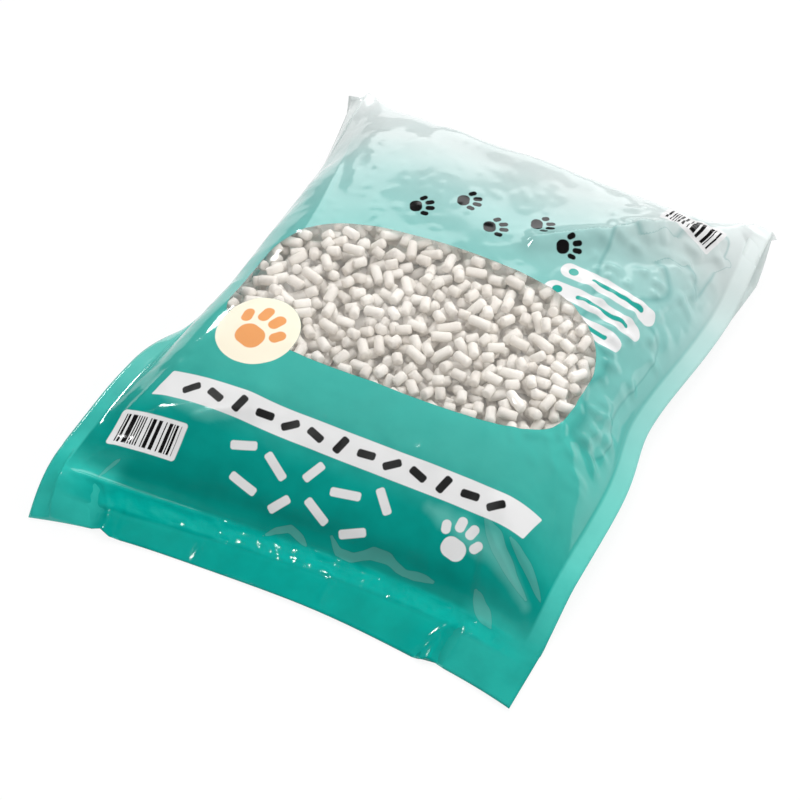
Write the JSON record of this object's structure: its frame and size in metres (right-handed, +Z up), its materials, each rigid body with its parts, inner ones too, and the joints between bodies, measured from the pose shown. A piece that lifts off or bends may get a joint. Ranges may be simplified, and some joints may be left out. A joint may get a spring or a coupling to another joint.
{
  "type": "cat litter bag",
  "caption": "Filled side-gusset film bag of cat litter pellets lying on its back, with edge seals, wide end seals and an arched window that shows the pellet bed.",
  "frame": {"origin": "on the floor, under the centre of the bag's bounding box as it lies on its back", "axes": "+X across the bag to the right, +Y along the bag from the bottom seal to the top seal, +Z up through the printed face"},
  "size_m": [0.3002, 0.3886, 0.065],
  "materials": {
    "printed_film": "glossy printed plastic film, deep teal at the bottom seal fading to pale mint at the top seal, clear in the window",
    "pellets": null
  },
  "bodies": {
    "root": {"film_bag": "printed_film", "litter_pellets": "pellets"}
  },
  "joints": []
}
